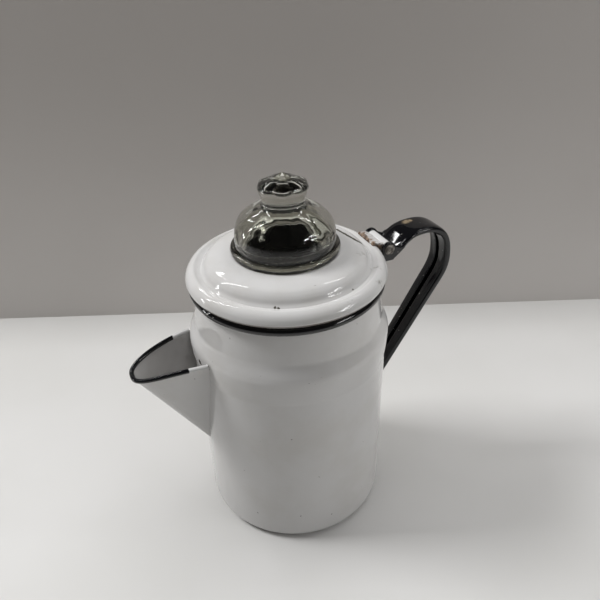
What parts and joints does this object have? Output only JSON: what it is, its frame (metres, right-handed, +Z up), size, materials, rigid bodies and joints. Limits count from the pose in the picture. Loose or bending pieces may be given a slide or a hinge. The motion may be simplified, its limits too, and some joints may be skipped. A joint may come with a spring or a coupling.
{
  "type": "coffee percolator",
  "caption": "Straight-sided enamelled stovetop coffee percolator with a folded strainer spout, rolled strap handle, hinged lid with a hollow glass knob, and an aluminium pump and basket inside.",
  "frame": {"origin": "centre of the flat underside of the pot", "axes": "+Z up, the handle points to +X, the spout to -X, and the hinge axis runs along Y"},
  "size_m": [0.2151, 0.1236, 0.2334],
  "materials": {
    "white_enamel": "gloss",
    "black_enamel": "gloss",
    "bare_steel": "satin, darkened",
    "aluminium": "satin",
    "pressed_glass": "clear, polished"
  },
  "bodies": {
    "pot": {"pot_body": "white_enamel", "spout": "white_enamel", "handle": "black_enamel", "hinge_pin": "bare_steel"},
    "lid_unit": {"lid": "white_enamel", "lid_collar": "white_enamel", "hinge_leaf": "white_enamel"},
    "knob_unit": {"glass_knob": "pressed_glass"},
    "pump_unit": {"pump_stem": "aluminium", "pump_foot": "aluminium"},
    "basket_unit": {"basket": "aluminium", "basket_sleeve": "aluminium"},
    "spreader_unit": {"spreader": "aluminium"}
  },
  "joints": [
    {"name": "lid_hinge", "type": "hinge", "parent": "pot", "child": "lid_unit", "pos_m": [0.0636, 0, 0.176], "axis": [0, 1, 0], "range_deg": [0, 110]},
    {"name": "knob_twist", "type": "hinge", "parent": "lid_unit", "child": "knob_unit", "pos_m": [0, 0, 0.1878], "axis": [0, 0, 1], "range_deg": [0, 60]},
    {"name": "pump_lift", "type": "slide", "parent": "pot", "child": "pump_unit", "axis": [0, 0, 1], "range_m": [0, 0.004]},
    {"name": "basket_lift", "type": "slide", "parent": "pump_unit", "child": "basket_unit", "axis": [0, 0, 1], "range_m": [0, 0.003]},
    {"name": "spreader_lift", "type": "slide", "parent": "basket_unit", "child": "spreader_unit", "axis": [0, 0, 1], "range_m": [0, 0.003]}
  ]
}
